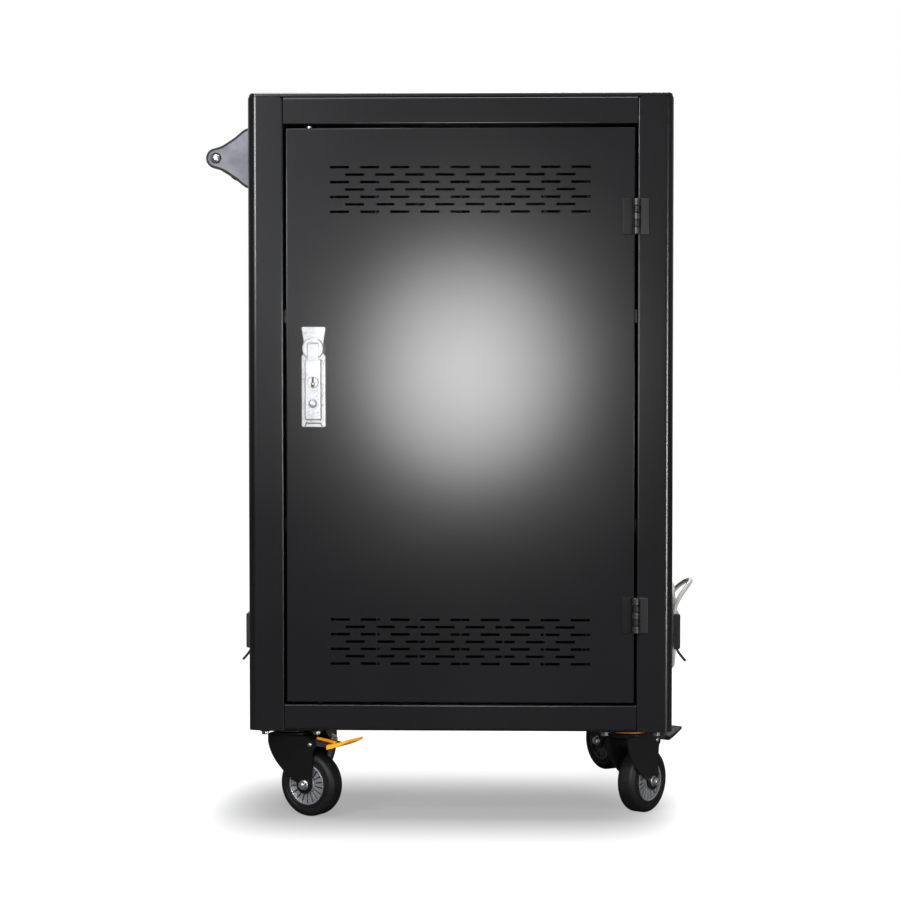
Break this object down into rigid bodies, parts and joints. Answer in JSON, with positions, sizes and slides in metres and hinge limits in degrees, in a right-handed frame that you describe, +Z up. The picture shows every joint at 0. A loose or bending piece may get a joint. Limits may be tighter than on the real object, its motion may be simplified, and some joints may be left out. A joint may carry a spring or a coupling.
{
  "type": "laptop charging cart",
  "caption": "Upright black sheet-metal cabinet on swivel casters with a vented locking door, side push handle, device racks, power strips and a mains cord wound on a side cleat.",
  "frame": {"origin": "on the floor, under the middle of the cart measured without its cord", "axes": "+Z up, -Y is the front with the locking door, +X is the right side with the wound cord, -X is the side with the push handle"},
  "size_m": [0.7679, 0.5632, 1.1068],
  "materials": {
    "black_powder_coat": "satin black powder coat",
    "black_steel": "black coated steel",
    "satin_chrome": "satin chrome plate",
    "zinc_steel": "bright zinc plate",
    "black_plastic": "moulded, matt black",
    "grey_plastic": "moulded, dark grey",
    "orange_plastic": "moulded, orange",
    "hub_grey": "moulded, grey",
    "tyre_rubber": "black rubber tread",
    "grey_cord": "light grey flexible sheath"
  },
  "bodies": {
    "cabinet": {"base_panel": "black_powder_coat", "caster_plate_front_left": "black_steel", "caster_plate_front_right": "black_steel", "caster_plate_rear_left": "black_steel", "caster_plate_rear_right": "black_steel", "cord_cleat_left": "black_plastic", "cord_cleat_right": "black_plastic", "cord_gland": "black_plastic", "divider_rack_lower": "grey_plastic", "divider_rack_middle": "grey_plastic", "divider_rack_upper": "grey_plastic", "front_header_rail": "black_powder_coat", "front_sill_rail": "black_powder_coat", "handle_bar": "black_steel", "handle_bracket_front": "black_plastic", "handle_bracket_rear": "black_plastic", "hinge_frame_leaf_lower": "black_steel", "hinge_frame_leaf_upper": "black_steel", "left_side_panel": "black_powder_coat", "partition_panel": "black_powder_coat", "power_cord_lead": "grey_cord", "power_cord_tail": "grey_cord", "power_cord_winding": "grey_cord", "power_plug": "grey_plastic", "power_strip_lower": "black_plastic", "power_strip_middle": "black_plastic", "power_strip_upper": "black_plastic", "rear_header_rail": "black_powder_coat", "rear_sill_rail": "black_powder_coat", "right_side_panel": "black_powder_coat", "shelf_middle": "black_powder_coat", "shelf_upper": "black_powder_coat", "top_cover": "black_powder_coat"},
    "front_door": {"front_door": "black_powder_coat", "hinge_door_leaf_upper": "black_steel", "hinge_door_leaf_lower": "black_steel", "lock_housing": "satin_chrome"},
    "lock_turret": {"lock_turret": "satin_chrome", "latch_cam": "zinc_steel"},
    "lock_handle": {"lock_handle": "satin_chrome"},
    "lock_cylinder": {"lock_cylinder": "zinc_steel"},
    "lock_button": {"lock_button": "satin_chrome"},
    "latch_rod_upper": {"latch_rod_upper": "zinc_steel"},
    "latch_rod_lower": {"latch_rod_lower": "zinc_steel"},
    "rear_door": {"rear_door": "black_powder_coat"},
    "rear_lock": {"rear_lock": "zinc_steel"},
    "caster_front_left": {"caster_fork_front_left": "black_steel"},
    "wheel_front_left": {"wheel_hub_front_left": "hub_grey", "wheel_tyre_front_left": "tyre_rubber"},
    "pedal_front_left": {"brake_pedal_front_left": "orange_plastic"},
    "caster_front_right": {"caster_fork_front_right": "black_steel"},
    "wheel_front_right": {"wheel_hub_front_right": "hub_grey", "wheel_tyre_front_right": "tyre_rubber"},
    "pedal_front_right": {"brake_pedal_front_right": "black_plastic"},
    "caster_rear_left": {"caster_fork_rear_left": "black_steel"},
    "wheel_rear_left": {"wheel_hub_rear_left": "hub_grey", "wheel_tyre_rear_left": "tyre_rubber"},
    "caster_rear_right": {"caster_fork_rear_right": "black_steel"},
    "wheel_rear_right": {"wheel_hub_rear_right": "hub_grey", "wheel_tyre_rear_right": "tyre_rubber"}
  },
  "joints": [
    {"name": "front_door_hinge", "type": "hinge", "parent": "cabinet", "child": "front_door", "pos_m": [0.28502, -0.2661, 0.619], "axis": [0, 0, 1], "range_deg": [0, 175]},
    {"name": "lock_turn", "type": "hinge", "parent": "front_door", "child": "lock_turret", "pos_m": [-0.20298, -0.2603, 0.72], "axis": [0, -1, 0], "range_deg": [0, 90]},
    {"name": "upper_rod_slide", "type": "slide", "parent": "front_door", "child": "latch_rod_upper", "axis": [0, 0, -1], "range_m": [0, 0.01131]},
    {"name": "lower_rod_slide", "type": "slide", "parent": "front_door", "child": "latch_rod_lower", "axis": [0, 0, 1], "range_m": [0, 0.01131]},
    {"name": "handle_tilt", "type": "hinge", "parent": "lock_turret", "child": "lock_handle", "pos_m": [-0.20298, -0.2739, 0.72], "axis": [-1, 0, 0], "range_deg": [0, 35]},
    {"name": "cylinder_turn", "type": "hinge", "parent": "lock_handle", "child": "lock_cylinder", "pos_m": [-0.20298, -0.2784, 0.669], "axis": [0, -1, 0], "range_deg": [0, 90]},
    {"name": "button_press", "type": "slide", "parent": "lock_handle", "child": "lock_button", "axis": [0, 1, 0], "range_m": [0, 0.0025], "stiffness_N_per_m": 400},
    {"name": "rear_door_hinge", "type": "hinge", "parent": "cabinet", "child": "rear_door", "pos_m": [-0.24698, 0.2655, 0.619], "axis": [0, 0, 1], "range_deg": [0, 175]},
    {"name": "rear_lock_turn", "type": "hinge", "parent": "rear_door", "child": "rear_lock", "pos_m": [0.25302, 0.2597, 0.602], "axis": [0, 1, 0], "range_deg": [0, 90]},
    {"name": "swivel_front_left", "type": "hinge", "parent": "cabinet", "child": "caster_front_left", "pos_m": [-0.24148, -0.1983, 0.13], "axis": [0, 0, 1], "continuous": true},
    {"name": "roll_front_left", "type": "hinge", "parent": "caster_front_left", "child": "wheel_front_left", "pos_m": [-0.21117, -0.2158, 0.05], "axis": [0.5, 0.866, 0], "continuous": true},
    {"name": "brake_front_left", "type": "hinge", "parent": "caster_front_left", "child": "pedal_front_left", "pos_m": [-0.20164, -0.2213, 0.113], "axis": [0.5, 0.866, 0], "range_deg": [0, 12]},
    {"name": "swivel_front_right", "type": "hinge", "parent": "cabinet", "child": "caster_front_right", "pos_m": [0.27952, -0.1983, 0.13], "axis": [0, 0, 1], "continuous": true},
    {"name": "roll_front_right", "type": "hinge", "parent": "caster_front_right", "child": "wheel_front_right", "pos_m": [0.30009, -0.16998, 0.05], "axis": [-0.809, 0.5878, 0], "continuous": true},
    {"name": "brake_front_right", "type": "hinge", "parent": "caster_front_right", "child": "pedal_front_right", "pos_m": [0.30656, -0.16109, 0.113], "axis": [-0.809, 0.5878, 0], "range_deg": [0, 12]},
    {"name": "swivel_rear_left", "type": "hinge", "parent": "cabinet", "child": "caster_rear_left", "pos_m": [-0.24148, 0.1977, 0.13], "axis": [0, 0, 1], "continuous": true},
    {"name": "roll_rear_left", "type": "hinge", "parent": "caster_rear_left", "child": "wheel_rear_left", "pos_m": [-0.23361, 0.2318, 0.05], "axis": [-0.9744, 0.225, 0], "continuous": true},
    {"name": "swivel_rear_right", "type": "hinge", "parent": "cabinet", "child": "caster_rear_right", "pos_m": [0.27952, 0.1977, 0.13], "axis": [0, 0, 1], "continuous": true},
    {"name": "roll_rear_right", "type": "hinge", "parent": "caster_rear_right", "child": "wheel_rear_right", "pos_m": [0.26097, 0.22738, 0.05], "axis": [-0.848, -0.5299, 0], "continuous": true}
  ],
  "couplings": [
    {"joint": "upper_rod_slide", "follows": "lock_turn", "m_per_rad": 0.0072025},
    {"joint": "lower_rod_slide", "follows": "lock_turn", "m_per_rad": 0.0072025}
  ]
}
